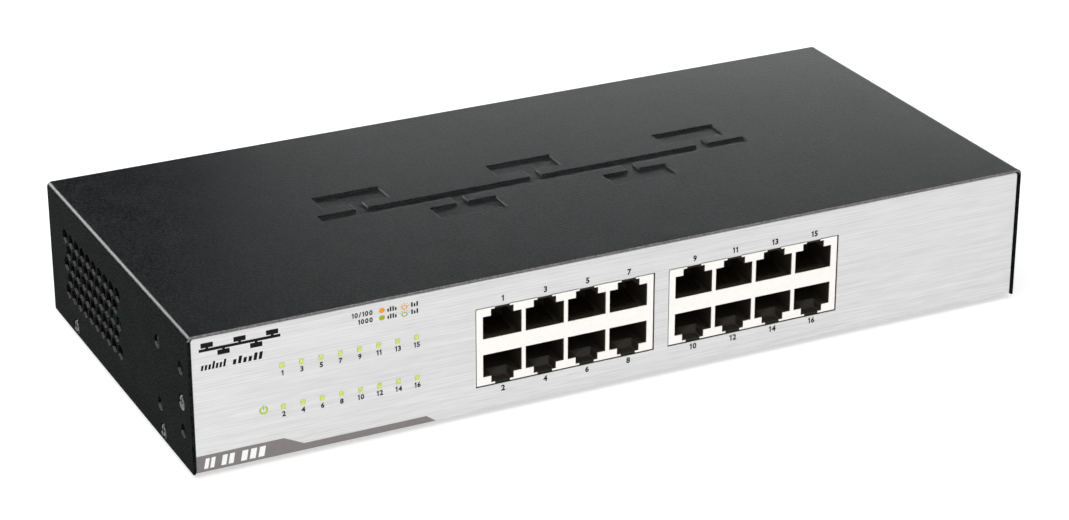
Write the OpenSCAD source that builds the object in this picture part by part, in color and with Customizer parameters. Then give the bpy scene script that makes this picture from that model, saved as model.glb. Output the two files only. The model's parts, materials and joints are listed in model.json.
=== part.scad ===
// Desktop network switch with sixteen sockets in a folded sheet-steel case.
// X runs to the right seen from the front, Y to the back, Z up.
// The origin is at the middle of the footprint, on the surface under the feet.

/* [Case] */
// Width of the case
body_w = 280; // [276:1:292]
// Depth of the case
body_d = 126; // [126:1:150]
// Height of the case without its feet
body_h = 43.5; // [43.5:0.5:48]
// Height of the rubber feet
foot_h = 1.5; // [1:0.5:3]
// Thickness of the sheet steel
sheet = 0.8; // [0.7:0.05:0.9]
// Outer radius of the bends of the cover
bend_r = 1.6; // [1.2:0.1:2.4]

/* [Front] */
// Thickness of the brushed front overlay
overlay_t = 0.4; // [0.3:0.1:0.5]
// Middles of the two socket blocks, from the middle of the case
block_x = [-20.95, 43.45];
// Sockets along one row of a block
columns = 4; // [2:1:4]
// Spacing of the sockets in a row
port_pitch = 14; // [14:0.1:14.2]
// Lamps in one row
lamps = 8; // [2:1:8]
// Spacing of the lamps
lamp_pitch = 6; // [5:0.5:6]

/* [Sides] */
// Spacing of the six-sided vents along a row
vent_pitch = 5.44; // [5.2:0.01:5.6]
// Width of a vent across its flats
vent_w = 4.4; // [3.5:0.1:4.5]
// Vents in the long rows
vent_count = 10; // [4:1:10]
// Radius of the bracket holes
ear_hole_r = 2.1; // [2:0.05:2.2]
// Radius of the heads of the cover screws
head_r = 2.5; // [2.2:0.1:2.6]

/* [Inside] */
// Height of the board tops over the underside of the case
board_top_h = 8.1; // [8:0.1:8.5]
// Thickness of the boards
board_t = 1.6; // [1.2:0.2:1.6]
// Radius of a low-voltage wire
dc_wire_r = 0.8; // [0.6:0.1:0.9]
// Radius of a mains wire
ac_wire_r = 1.0; // [0.8:0.1:1.1]

/* [Hidden] */
$fn = 48;
cut = 0.5;            // overrun of a cutting tool past the face it leaves
gap = 0.05;           // clearance between parts that lie against each other

// Levels, from the surface under the feet
z0 = foot_h;
floor_z = z0 + sheet;
board_z = z0 + board_top_h;
wall_h = body_h - sheet - 0.1;

// Faces of the front and the back
front_y = -body_d/2;
wall_y = front_y + 0.8;
wall_in = wall_y + sheet;
overlay_y = wall_y - overlay_t;
rear_y = body_d/2 - 0.6;
side_x = body_w/2;
tray_x = side_x - sheet - gap;

// Front overlay and what shows through it
overlay_w = body_w - 2.4;
overlay_low = 0.2;
overlay_high = body_h - 1.1;
window_gap = 0.35;
lamp_w = 1.4;
lamp_h = 1.5;
lamp_x0 = -111.7;
lamp_z = [z0 + 28.65, z0 + 15.6];
power_x = -117.8;
power_z = z0 + 15.7;
power_r = 1.3;
power_line = 0.42;

// Socket block
block_w = columns*port_pitch + 2.95;
block_h = 25.05;
block_d = 25.5;
block_y = overlay_y + 0.3;
shield_t = 0.25;
block_mid = board_z + block_h/2;
mouth_w = 12.7;
mouth_low = 2.55;
mouth_high = 9.85;
latch1_w = 7.4;
latch1_z = 11.95;
latch2_w = 4.9;
cavity_d = 13;
ramp_y = [3.4, 4.7];     // where the floor of the latch channel starts and ends to rise
mould_slack = 0.25;      // how far the moulding stands inside the openings of its shield
contact_pitch = 1.02;
contact_count = 8;

// Side panels
ear_y = [front_y + 6.8, front_y + 26.1];
ear_z = [z0 + 11.2, z0 + 31.2];
side_screws = [[front_y + 7, z0 + 20.4], [front_y + 24.6, z0 + 3], [front_y + 104, z0 + 3]];
vent_y = 22.5;
vent_z = z0 + 21.9;
vent_rows = 5;

// Mark pressed into the cover
mark_w = 149;
mark_h = 32;
mark_depth = 0.5;

// Boards
board_x = [-132, 78];
board_y = [wall_in + 0.4, 38];
supply_x = [86, 134];
supply_y = [-56, 34];
board_fix = [[-127, -30], [-127, 33], [-60, -54], [-35, 33], [73, 33], [75, -31]];
supply_fix = [[90, -52], [130, -52], [90, 30], [130, 30]];

// Power inlet
inlet_x = 100;
inlet_z = z0 + body_h/2;
inlet_w = 27;
inlet_h = 19.8;
inlet_d = 19;
inlet_screw_x = 20;
pin_x = 7;
pin_low = -2;
pin_high = 2;
earth_at = [80, 50];

// Connectors of the low-voltage leads
dc_y = -13;
dc_pitch = 2.5;
dc_x = [74, 93];
ac_at = [100, 22.5];

// Routes of the wires, from end to end
dc_route = [[dc_x[0], 0, board_z + 12], [dc_x[0] + 1, 0, board_z + 16], [79.5, 0, board_z + 18.5],
  [87.5, 0, board_z + 18.5], [dc_x[1] - 1, 0, board_z + 16], [dc_x[1], 0, board_z + 12]];
live_route = [[inlet_x - pin_x, 32.9, inlet_z + pin_low], [inlet_x - pin_x, 31, inlet_z + pin_low],
  [inlet_x - 6, 27.6, 22.6], [inlet_x - 4.4, 24.2, 21.8], [inlet_x - 4, ac_at[1], board_z + 9]];
neutral_route = [for (p = live_route) [2*inlet_x - p[0], p[1], p[2]]];
earth_route = [[inlet_x, 32.9, inlet_z + pin_high], [inlet_x, 30.6, inlet_z + pin_high], [inlet_x, 27.8, 22],
  [inlet_x, 28.6, 17], [97.5, 33.5, 12.5], [90, 39.5, 9], [83, 41.5, 6.5], [earth_at[0], earth_at[1] - 5.6, floor_z + 3.4]];

// ---------------------------------------------------------------- shapes used more than once

// A box given by its two corners
module span(a, b) { translate(a) cube(b - a); }

// A box standing on height z, centred over a point
module stand(at, z, size) { translate([at[0] - size[0]/2, at[1] - size[1]/2, z]) cube(size); }

// A pin along X, from x0 to x1
module pin_along_x(x0, x1, y, z, r) {
  translate([x0, y, z]) rotate([0, 90, 0]) cylinder(h = x1 - x0, r = r);
}

// A pin along Y, from y0 to y1
module pin_along_y(x, y0, y1, z, r) {
  translate([x, y0, z]) rotate([-90, 0, 0]) cylinder(h = y1 - y0, r = r);
}

// A cone along Y that ends at y1
module cone_along_y(x, y0, y1, z, r0, r1) {
  translate([x, y0, z]) rotate([-90, 0, 0]) cylinder(h = y1 - y0, r1 = r0, r2 = r1);
}

// Outline of a folded cover: flat below, with its two upper corners rounded
module arch(w, h, r) {
  translate([-w/2, 0]) square([w, h - r]);
  translate([-w/2 + r, 0]) square([w - 2*r, h]);
  for (s = [-1, 1]) translate([s*(w/2 - r), h - r]) circle(r);
}

// A rectangle with rounded corners, centred
module rounded(w, h, r) {
  square([w - 2*r, h], center = true);
  square([w, h - 2*r], center = true);
  for (x = [-1, 1], y = [-1, 1]) translate([x*(w/2 - r), y*(h/2 - r)]) circle(r);
}

// A cross-shaped driver recess that opens upwards at height 0
module driver_recess(r, depth) {
  for (a = [0, 90]) rotate(a) translate([0, 0, -depth/2 + cut/2]) cube([2*r, 0.55, depth + cut], center = true);
}

// A pan-head screw with its head on height z
module pan_screw(at, z, shank_r, length, head, head_h) {
  translate([at[0], at[1], z]) difference() {
    union() {
      cylinder(h = head_h, r = head, $fn = 32);
      translate([0, 0, -length]) cylinder(h = length + 0.1, r = shank_r, $fn = 24);
    }
    translate([0, 0, head_h]) driver_recess(head*0.6, head_h*0.6);
  }
}

// A six-sided standoff with a bore, from height a to height b
module standoff(at, a, b) {
  translate([at[0], at[1], a]) difference() {
    cylinder(h = b - a, r = 2.9, $fn = 6);
    translate([0, 0, -cut]) cylinder(h = b - a + 2*cut, r = 1.3, $fn = 24);
  }
}

// A can capacitor standing on height z
module can(at, z, r, h) {
  translate([at[0], at[1], z]) difference() {
    union() {
      cylinder(h = 1.2, r = r, $fn = 36);
      translate([0, 0, 1.2]) cylinder(h = 0.8, r = r - 0.3, $fn = 36);
      translate([0, 0, 2]) cylinder(h = h - 2, r = r, $fn = 36);
    }
    translate([0, 0, h - 0.25]) cylinder(h = cut, r = r*0.8, $fn = 36);
  }
}

// A chip with its leads on all four sides, its underside on height z
module quad_chip(at, z, w, h) {
  stand(at, z + 0.1, [w, w, h]);
  for (k = [-4:4]) {
    stand([at[0] + k*w/10, at[1]], z, [w/25, w + 2, 0.2]);
    stand([at[0], at[1] + k*w/10], z, [w + 2, w/25, 0.2]);
  }
}

// A finned heatsink with its base on height z
module fins(at, z, w, h, count) {
  stand(at, z, [w, w, 2]);
  for (k = [0:count - 1]) stand([at[0] + (k/(count - 1) - 0.5)*(w - 1), at[1]], z, [1, w, h]);
}

// Points on a smooth curve through a route
function bend4(a, b, c, d, t) =
  0.5*(2*b + (c - a)*t + (2*a - 5*b + 4*c - d)*t*t + (3*b - a - 3*c + d)*t*t*t);
function smooth(p, steps) = [
  for (i = [0:len(p) - 2], k = [0:steps - 1])
    bend4(p[max(i - 1, 0)], p[i], p[i + 1], p[min(i + 2, len(p) - 1)], k/steps),
  p[len(p) - 1]
];
function unit(v) = v/norm(v);

// A round wire along a route; side is a direction that the wire never runs along
module wire(route, r, side, sides = 8, steps = 4) {
  p = smooth(route, steps);
  n = len(p);
  rings = [
    for (i = [0:n - 1])
      let (t = unit(p[min(i + 1, n - 1)] - p[max(i - 1, 0)]), b = unit(cross(t, side)), u = cross(b, t))
        for (k = [0:sides - 1]) p[i] + r*(cos(360*k/sides)*u + sin(360*k/sides)*b)
  ];
  walls = [
    for (i = [0:n - 2], k = [0:sides - 1])
      [i*sides + k, i*sides + (k + 1)%sides, (i + 1)*sides + (k + 1)%sides, (i + 1)*sides + k]
  ];
  start = [for (k = [sides - 1:-1:0]) k];
  end = [for (k = [0:sides - 1]) (n - 1)*sides + k];
  polyhedron(points = rings, faces = concat(walls, [start, end]));
}

// ---------------------------------------------------------------- case

// Plain sign for a shared line: a bar with square stations above and below it
module network_mark(w, h, grow = 0) {
  bar = h*0.13;
  station_w = w*0.15;
  station_h = h*0.28;
  translate([-w/2 - grow, -bar/2 - grow]) square([w + 2*grow, bar + 2*grow]);
  for (k = [0:4]) {
    s = k%2 == 0 ? 1 : -1;
    translate([(k - 2)*w*0.2, s*(h/2 - station_h/2)])
      square([station_w + 2*grow, station_h + 2*grow], center = true);
    translate([(k - 2)*w*0.2, s*h/4]) square([bar + 2*grow, h/2], center = true);
  }
}

// The six-sided holes of one side panel, cut along X
module side_vents() {
  for (row = [0:vent_rows - 1]) {
    holes = vent_count - row%2;
    for (k = [0:holes - 1])
      translate([0, vent_y + (k - (holes - 1)/2)*vent_pitch, vent_z + (row - 2)*vent_pitch*sqrt(3)/2])
        rotate([0, 90, 0]) cylinder(h = 3*sheet, r = vent_w/sqrt(3), center = true, $fn = 6);
  }
}

module top_cover() {
  color("#2b2e30") difference() {
    union() {
      translate([0, 0, z0]) rotate([90, 0, 0]) linear_extrude(body_d, center = true) difference() {
        arch(body_w, body_h, bend_r);
        translate([0, -cut]) arch(body_w - 2*sheet, body_h - sheet + cut, bend_r - sheet);
      }
      translate([0, -2, z0 + body_h - sheet - mark_depth]) linear_extrude(mark_depth + 0.1)
        network_mark(mark_w, mark_h, 0.5);
    }
    translate([0, -2, z0 + body_h - mark_depth]) linear_extrude(cut + mark_depth)
      network_mark(mark_w, mark_h);
    for (s = [-1, 1]) {
      translate([s*side_x, 0, 0]) side_vents();
      for (y = ear_y, z = ear_z) pin_along_x(s*side_x - 1.5, s*side_x + 1.5, y, z, ear_hole_r);
      for (p = side_screws) translate([s*side_x, p[0], p[1]]) rotate([0, -90*s, 0])
        cylinder(h = sheet + 0.01, r1 = head_r + gap, r2 = 1.55);
    }
  }
}

module base_tray() {
  color("#2b2e30") difference() {
    union() {
      span([-tray_x, wall_y, z0], [tray_x, rear_y, floor_z]);
      for (y = [wall_in, rear_y]) translate([0, y, z0]) rotate([90, 0, 0]) linear_extrude(sheet)
        arch(2*tray_x, wall_h, 1.2);
      for (s = [-1, 1]) {
        translate([s*(tray_x - sheet/2), 0, 0]) {
          stand([0, (wall_in + rear_y - sheet)/2], z0, [sheet, rear_y - sheet - wall_in, 9]);
          stand([0, wall_in + 16], z0, [sheet, 32, wall_h - 1]);
          stand([0, rear_y - sheet - 5], z0, [sheet, 10, wall_h - 1]);
        }
        for (p = side_screws) pin_along_x(s > 0 ? tray_x - 2.4 : -tray_x, s > 0 ? tray_x : -tray_x + 2.4,
          p[0], p[1], 2.2);
      }
    }
    for (x = block_x) span([x - block_w/2 - 0.7, wall_y - cut, board_z - 0.6],
      [x + block_w/2 + 0.7, wall_in + cut, board_z + block_h + 0.7]);
    for (k = [0:lamps - 1], z = lamp_z) translate([lamp_x0 + k*lamp_pitch, wall_y, z])
      cube([2.2, 4*sheet, 2.2], center = true);
    pin_along_y(power_x, wall_y - cut, wall_in + cut, power_z, power_r + 0.3);
    for (s = [-1, 1]) {
      for (y = ear_y, z = ear_z) pin_along_x(s*tray_x - 1.5, s*tray_x + 1.5, y, z, y == ear_y[0] ? 1.65 : 2.6);
      for (p = side_screws) pin_along_x(s*tray_x - 3.5, s*tray_x + 3.5, p[0], p[1], 1.5);
    }
    translate([inlet_x, rear_y, inlet_z]) rotate([90, 0, 0]) translate([0, 0, -cut])
      linear_extrude(sheet + 2*cut) rounded(inlet_w + 0.3, inlet_h + 0.3, 1);
    for (s = [-1, 1]) {
      cone_along_y(inlet_x + s*inlet_screw_x, rear_y - sheet - 0.01, rear_y + 0.01, inlet_z, 1.8, 2.9);
    }
    translate([-118, rear_y, z0 + 12]) rotate([90, 0, 0]) translate([0, 0, -cut])
      linear_extrude(sheet + 2*cut) rounded(7, 3, 0.8);
    for (p = concat(board_fix, supply_fix)) translate([p[0], p[1], z0 - cut])
      cylinder(h = sheet + 2*cut, r = 1.5, $fn = 24);
  }
}

// Sign of the power lamp: a ring that is open at the top, and a bar in the gap
module power_sign(grow = 0) {
  translate([power_x, power_z]) {
    difference() {
      circle(power_r + grow);
      circle(power_r - power_line - grow);
      polygon([[0, -0.2], [-power_r, 2*power_r], [power_r, 2*power_r]]);
    }
    translate([-power_line/2 - grow, 0.1 - grow]) square([power_line + 2*grow, power_r + 2*grow]);
  }
}

// Outline of the overlay, seen from the front
module overlay_outline() {
  translate([0, z0 + overlay_low]) arch(overlay_w, overlay_high - overlay_low, 1);
}

module front_overlay() {
  color("#d9dadb") translate([0, wall_y, 0]) rotate([90, 0, 0]) linear_extrude(overlay_t) difference() {
    overlay_outline();
    for (x = block_x) translate([x, block_mid])
      square([block_w + 2*window_gap, block_h + 2*window_gap], center = true);
    for (k = [0:lamps - 1], z = lamp_z) translate([lamp_x0 + k*lamp_pitch, z])
      square([lamp_w + 2*gap, lamp_h + 2*gap], center = true);
    power_sign(gap/2);
  }
}

// Cover screws: rounded heads sunk into cone-shaped seats
module cover_side_screws() {
  head_round = 0.45;
  rim_r = 1.95;
  color("#1c1d1e") for (s = [-1, 1], p = side_screws) translate([s*side_x, p[0], p[1]])
    rotate([0, 90*s, 0]) difference() {
      union() {
        rotate_extrude() polygon(concat([[0, -sheet], [1.45, -sheet]],
          [for (a = [0:15:90]) [rim_r - head_round*(1 - cos(a)), -gap - head_round*(1 - sin(a))]], [[0, -gap]]));
        translate([0, 0, -6]) cylinder(h = 5.3, r = 1.45, $fn = 24);
      }
      translate([0, 0, -gap]) driver_recess(1.4, 0.5);
    }
}

module bracket_inserts() {
  color("#c9ccd0") for (s = [-1, 1], z = ear_z) translate([s*tray_x, ear_y[1], z]) rotate([0, -90*s, 0])
    difference() {
      union() {
        cylinder(h = sheet, r = 2.58);
        translate([0, 0, sheet]) cylinder(h = 3, r = 3.4);
      }
      translate([0, 0, -cut]) cylinder(h = 5, r = 1.65);
    }
}

module rubber_feet() {
  color("#1a1a1a") for (x = [-118, 118], y = [-47, 47]) translate([x, y, 0]) {
    cylinder(h = 0.5, r1 = 5.6, r2 = 6);
    translate([0, 0, 0.5]) cylinder(h = foot_h - 0.5, r = 6);
  }
}

module rating_label() {
  color("#c4c6c8") translate([-30, 5, z0 - 0.12]) linear_extrude(0.12) rounded(70, 38, 2);
}

// ---------------------------------------------------------------- front lamps

// One bent light pipe: its tip in the overlay, its foot over a lamp on the board
module light_pipe(x, z, foot_y) {
  span([x - lamp_w/2, overlay_y, z - lamp_h/2], [x + lamp_w/2, wall_in, z + lamp_h/2]);
  span([x - 1, wall_in + 0.1, z - 1], [x + 1, foot_y + 1, z + 1]);
  span([x - lamp_w/2, wall_in - 0.2, z - lamp_h/2], [x + lamp_w/2, wall_in + 0.4, z + lamp_h/2]);
  span([x - 1, foot_y - 1, board_z + 1.1], [x + 1, foot_y + 1, z + 1]);
}

// A row of light pipes on one carrier bar
module light_pipe_row(z, foot_y, bar_z) {
  for (k = [0:lamps - 1]) light_pipe(lamp_x0 + k*lamp_pitch, z, foot_y);
  span([lamp_x0 - 3, foot_y - 0.8, bar_z], [lamp_x0 + (lamps - 1)*lamp_pitch + 3, foot_y + 0.8, bar_z + 2]);
}

upper_foot_y = wall_in + 10.4;
lower_foot_y = wall_in + 5.4;

module light_pipe_upper() { color("#dfe8c8") light_pipe_row(lamp_z[0], upper_foot_y, board_z + 12); }
module light_pipe_lower() { color("#dfe8c8") light_pipe_row(lamp_z[1], lower_foot_y, board_z + 3.6); }

module power_light_pipe() {
  color("#a4cf3a") {
    translate([0, wall_y + 0.1, 0]) rotate([90, 0, 0]) linear_extrude(overlay_t + 0.1) power_sign();
    pin_along_y(power_x, wall_y + gap, lower_foot_y, power_z, power_r + 0.2);
    span([power_x - 1, lower_foot_y - 1, board_z + 1.1], [power_x + 1, lower_foot_y + 1, power_z]);
  }
}

module smd_lamps() {
  color("#e8e6c8") {
    for (k = [0:lamps - 1], y = [upper_foot_y, lower_foot_y])
      stand([lamp_x0 + k*lamp_pitch, y], board_z, [1.6, 0.8, 0.8]);
    stand([power_x, lower_foot_y], board_z, [1.6, 0.8, 0.8]);
  }
}

// ---------------------------------------------------------------- socket blocks

// Opening of one socket above the middle line of its block; slack widens it
module plug_mouth(slack) {
  translate([-mouth_w/2 - slack, mouth_low - slack])
    square([mouth_w + 2*slack, mouth_high - mouth_low + 2*slack]);
}

// The two steps of that opening, for the latch of the plug
module latch_mouth(slack) {
  translate([-latch1_w/2 - slack, mouth_low]) square([latch1_w + 2*slack, latch1_z - mouth_low + slack]);
  translate([-latch2_w/2 - slack, mouth_low]) square([latch2_w + 2*slack, block_h/2 - mouth_low + cut]);
}

function port_x(k) = (k - (columns - 1)/2)*port_pitch;

// Repeats a mouth for all the sockets of a block, cut from y0 to y1 behind its face
module all_mouths(y0, y1) {
  translate([0, y1, 0]) rotate([90, 0, 0]) linear_extrude(y1 - y0)
    for (k = [0:columns - 1], row = [0, 1]) translate([port_x(k), 0]) mirror([0, row]) children();
}

// The stretch of the latch channels whose floor rises to the level of the plug's own
module latch_ramps() {
  w = latch1_w - 2*mould_slack;
  top = mouth_high - mould_slack;
  for (k = [0:columns - 1], row = [0, 1]) mirror([0, 0, row]) translate([port_x(k) - w/2, 0, 0])
    rotate([90, 0, 90]) linear_extrude(w) polygon([
      [ramp_y[0] - 1, top - 1], [ramp_y[0] - 1, latch1_z - mould_slack], [ramp_y[0], latch1_z - mould_slack],
      [ramp_y[1], top], [ramp_y[1], top - 1]
    ]);
}

// Each block is drawn about the middle of its face, then put in place
module in_block(side) { translate([block_x[side], block_y, block_mid]) children(); }

module port_shield(side) {
  w = block_w;
  t = shield_t;
  color("#e6e2da") in_block(side) difference() {
    span([-w/2, 0, -block_h/2], [w/2, block_d, block_h/2]);
    span([-w/2 + t, t, -block_h/2 - cut], [w/2 - t, block_d - t, block_h/2 - t]);
    all_mouths(-cut, 2*t) { plug_mouth(0); latch_mouth(0); }
  }
}

module port_housing(side) {
  m = shield_t + 0.05;
  color("#17130f") in_block(side) difference() {
    union() {
      span([-block_w/2 + m, m, -block_h/2], [block_w/2 - m, block_d - m, block_h/2 - m]);
      for (s = [-1, 1]) translate([s*(block_w/2 - 6), 12, -block_h/2 - 2.4]) cylinder(h = 3, r = 1.6, $fn = 24);
    }
    intersection() {
      union() {
        all_mouths(-cut, cavity_d) plug_mouth(-mould_slack);
        all_mouths(-cut, ramp_y[0]) latch_mouth(-mould_slack);
        latch_ramps();
      }
      span([-block_w/2 + 1, -cut, -block_h/2 + 0.4], [block_w/2 - 1, cavity_d, block_h/2 - 0.7]);
    }
  }
}

// Eight sprung contacts rise from the wall of the socket away from its latch
module port_contacts(side) {
  rise = 2.1;
  run = 9;
  color("#d9b24c") in_block(side) for (k = [0:columns - 1], row = [0, 1], c = [0:contact_count - 1])
    mirror([0, 0, row])
      translate([port_x(k) + (c - (contact_count - 1)/2)*contact_pitch, 2.2, mouth_low + 0.27])
        rotate([atan2(rise - 0.35, run), 0, 0]) translate([-0.18, 0, 0]) cube([0.36, run, 0.3]);
}

module port_shield_left() { port_shield(0); }
module port_shield_right() { port_shield(1); }
module port_housing_left() { port_housing(0); }
module port_housing_right() { port_housing(1); }
module port_contacts_left() { port_contacts(0); }
module port_contacts_right() { port_contacts(1); }

// ---------------------------------------------------------------- main board

chip_at = [-62, 4];
phy_at = [for (x = block_x) [x, -2]];
magnetics_y = block_y + block_d + 10;

module main_board() {
  color("#1f6b3a") difference() {
    span([board_x[0], board_y[0], board_z - board_t], [board_x[1], board_y[1], board_z]);
    for (p = board_fix) translate([p[0], p[1], board_z - 3]) cylinder(h = 5, r = 1.7, $fn = 24);
    for (x = block_x, s = [-1, 1]) translate([x + s*(block_w/2 - 6), block_y + 12, board_z - 3])
      cylinder(h = 5, r = 1.7, $fn = 24);
  }
}

module board_standoffs() { color("#b9bcc0") for (p = board_fix) standoff(p, floor_z, board_z - board_t); }
module board_screws() { color("#a9acb0") for (p = board_fix) pan_screw(p, board_z, 1.25, 6, 2.7, 1.8); }

module switch_chip() { color("#26282b") quad_chip(chip_at, board_z, 24, 1.4); }
module switch_heatsink() { color("#3a3d42") fins(chip_at, board_z + 1.5, 34, 13, 9); }
module phy_chips() { color("#26282b") for (p = phy_at) quad_chip(p, board_z, 16, 1.3); }
module phy_heatsinks() { color("#3a3d42") for (p = phy_at) fins(p, board_z + 1.4, 22, 9, 7); }

module magnetics_modules() {
  color("#151515") for (x = block_x, k = [0:3], s = [-1, 1]) {
    at = [x + (k - 1.5)*14.2, magnetics_y];
    if (s > 0) stand(at, board_z + 0.3, [11.8, 15, 5.4]);
    for (j = [-5:5]) stand([at[0] + s*5.9, at[1] + j*1.27], board_z, [2.2, 0.5, 0.5]);
  }
}

module board_inductors() {
  color("#4a4a4c") for (k = [0:2]) translate([69, 4 + k*9.5, board_z]) {
    stand([0, 0], 0, [7, 7, 1]);
    cylinder(h = 3.6, r = 3.3, $fn = 32);
  }
}

module board_capacitors() {
  color("#2b2d33") {
    for (k = [0:2]) can([59.5, 5 + k*10], board_z, 4, 11);
    for (k = [0:1]) can([-98, 12 + k*10], board_z, 3.15, 8);
  }
}

module clock_crystal() { color("#c8cacc") stand([-88, -10], board_z, [11, 4.6, 3.5]); }

module memory_chip() {
  color("#26282b") {
    stand([-90, -22], board_z + 0.1, [5, 4, 1.6]);
    for (k = [-1.5:1.5]) stand([-90 + k*1.27, -22], board_z, [0.4, 6, 0.2]);
  }
}

// Rows of small resistors between the chips and the magnetics
module chip_resistors() {
  color("#1d1d1f") for (x = block_x, k = [0:11]) stand([x + (k - 5.5)*4.4, -15.5], board_z, [1.6, 0.8, 0.5]);
}

// ---------------------------------------------------------------- leads inside

module dc_header(k) { color("#efe9dc") stand([dc_x[k], dc_y], board_z, [6, 4*dc_pitch + 2, 6]); }
module dc_header_main() { dc_header(0); }
module dc_header_supply() { dc_header(1); }

module dc_plugs() {
  color("#f4f0e6") for (x = dc_x) difference() {
    stand([x, dc_y], board_z + 6, [5, 4*dc_pitch + 1, 6]);
    for (k = [0:3]) translate([x, dc_y + (k - 1.5)*dc_pitch, board_z + 9]) cylinder(h = 4, r = dc_wire_r + 0.1, $fn = 24);
  }
}

// Two of the four low-voltage wires, side by side
module dc_pair(first) {
  for (k = [first, first + 1])
    wire([for (p = dc_route) [p[0], dc_y + (k - 1.5)*dc_pitch, p[2]]], dc_wire_r, [0, 1, 0]);
}
module dc_wires_red() { color("#b3201c") dc_pair(0); }
module dc_wires_black() { color("#1a1a1a") dc_pair(2); }

module ac_header() { color("#efe9dc") stand(ac_at, board_z, [14, 6, 4]); }

module ac_plug() {
  color("#f4f0e6") difference() {
    stand(ac_at, board_z + 4, [13, 5, 5]);
    for (s = [-1, 1]) translate([ac_at[0] + 4*s, ac_at[1], board_z + 6])
      cylinder(h = 4, r = ac_wire_r + 0.1, $fn = 24);
  }
}

module inlet_wire_live() { color("#7a4a22") wire(live_route, ac_wire_r, [1, 0, 0]); }
module inlet_wire_neutral() { color("#2a5da8") wire(neutral_route, ac_wire_r, [1, 0, 0]); }
module inlet_wire_earth() { color("#7fae2e") wire(earth_route, ac_wire_r, [0, 1, -0.2], steps = 3); }

// Push-on sleeves over the tabs of the inlet
module inlet_sleeves() {
  color("#d8d4c8") for (p = [[-pin_x, pin_low], [pin_x, pin_low], [0, pin_high]])
    translate([inlet_x + p[0], 0, inlet_z + p[1]]) difference() {
      span([-2.2, 33, -4], [2.2, 42.6, 4]);
      span([-0.5, 35, -3.3], [0.5, 44, 3.3]);
    }
}

// ---------------------------------------------------------------- power supply

module supply_board() {
  color("#b58a3c") difference() {
    span([supply_x[0], supply_y[0], board_z - board_t], [supply_x[1], supply_y[1], board_z]);
    for (p = supply_fix) translate([p[0], p[1], board_z - 3]) cylinder(h = 5, r = 1.7, $fn = 24);
  }
}

module supply_insulator() {
  color("#e4e2d6") difference() {
    span([supply_x[0] - 2, supply_y[0] - 2, floor_z], [supply_x[1] + 2, supply_y[1] + 2, floor_z + 0.3]);
    for (p = supply_fix) translate([p[0], p[1], floor_z - cut]) cylinder(h = 2, r = 3.4, $fn = 24);
  }
}

module supply_standoffs() { color("#b9bcc0") for (p = supply_fix) standoff(p, floor_z, board_z - board_t); }
module supply_screws() { color("#a9acb0") for (p = supply_fix) pan_screw(p, board_z, 1.25, 6, 2.7, 1.8); }

core_at = [110, -14];

module transformer_core() {
  color("#3b3b3d") difference() {
    stand(core_at, board_z + 3, [26, 8, 22]);
    for (s = [-1, 1]) stand([core_at[0] + s*7, core_at[1]], board_z + 6.5, [6.5, 10, 15]);
  }
}

module transformer_bobbin() {
  color("#caa23a") {
    difference() {
      union() {
        stand(core_at, board_z, [25, 19, 3]);
        stand(core_at, board_z + 6.7, [20, 17, 14.6]);
      }
      stand(core_at, board_z + 2, [7.6, 8.2, 30]);
      for (s = [-1, 1]) stand([core_at[0] + s*12, core_at[1]], board_z + 6, [4.2, 8.2, 20]);
    }
    for (s = [-1, 1]) stand([core_at[0], core_at[1] + s*6.9], board_z + 2.5, [18, 4.5, 4.5]);
  }
}

module bulk_capacitor() { color("#1f2a44") can([122, 8], board_z, 8, 26); }
module output_capacitors() { color("#20352a") for (k = [0:2]) can([97 + k*11.5, -44], board_z, 5, 17); }

module supply_heatsinks() {
  color("#b4b7bb") for (p = [[128, -22], [104, -31]]) {
    stand(p, board_z + 0.5, p[0] > 120 ? [2, 26, 24] : [26, 2, 20]);
    stand(p, board_z, p[0] > 120 ? [4, 22, 2] : [22, 4, 2]);
  }
}

module supply_transistors() {
  color("#222325") {
    stand([125.4, -22], board_z + 5, [3, 10, 15]);
    stand([104, -28.4], board_z + 5, [10, 3, 13]);
    for (k = [-1:1]) {
      stand([125.4, -22 + k*2.54], board_z, [0.6, 0.9, 5.2]);
      stand([104 + k*2.54, -28.4], board_z, [0.9, 0.6, 5.2]);
    }
  }
}

module bridge_rectifier() {
  color("#26272a") {
    stand([104, 12], board_z + 3, [20, 4, 12]);
    for (k = [0:3]) stand([96.5 + k*5, 12], board_z, [1, 0.8, 3.2]);
  }
}

choke_at = [93, 0.5];
choke_z = board_z + 8;
core_r = 6.5;
core_bore = 3.6;
core_w = 6;
copper = 0.6;

module at_choke() { translate([choke_at[0], choke_at[1], choke_z]) rotate([0, 90, 0]) children(); }

module choke_core() {
  color("#3d5a3a") at_choke() difference() {
    cylinder(h = core_w, r = core_r, center = true);
    cylinder(h = core_w + 2*cut, r = core_bore, center = true);
  }
}

// Turns of copper wire around the two halves of the ring
module choke_windings() {
  limb = core_r - core_bore + 4*gap;
  color("#b5652c") at_choke() for (s = [0, 180], k = [-3:3]) rotate(s + k*16)
    translate([(core_r + core_bore)/2, 0, 0]) difference() {
      cube([limb + 2*copper, copper, core_w + 2*gap + 2*copper], center = true);
      cube([limb, 2, core_w + 2*gap], center = true);
    }
}

module filter_capacitor() { color("#c9b42e") stand([118, 22], board_z + 0.4, [18, 6, 12]); }

module fuse() {
  x = 89.8;
  color("#cfd3d6") {
    pin_along_y(x, 8.5, 13, board_z + 4, 2.6);
    pin_along_y(x, 13, 22, board_z + 4, 2.4);
    pin_along_y(x, 22, 26.5, board_z + 4, 2.6);
    for (y = [10, 25]) stand([x, y], board_z, [0.8, 0.8, 3]);
  }
}

// ---------------------------------------------------------------- power inlet

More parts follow.
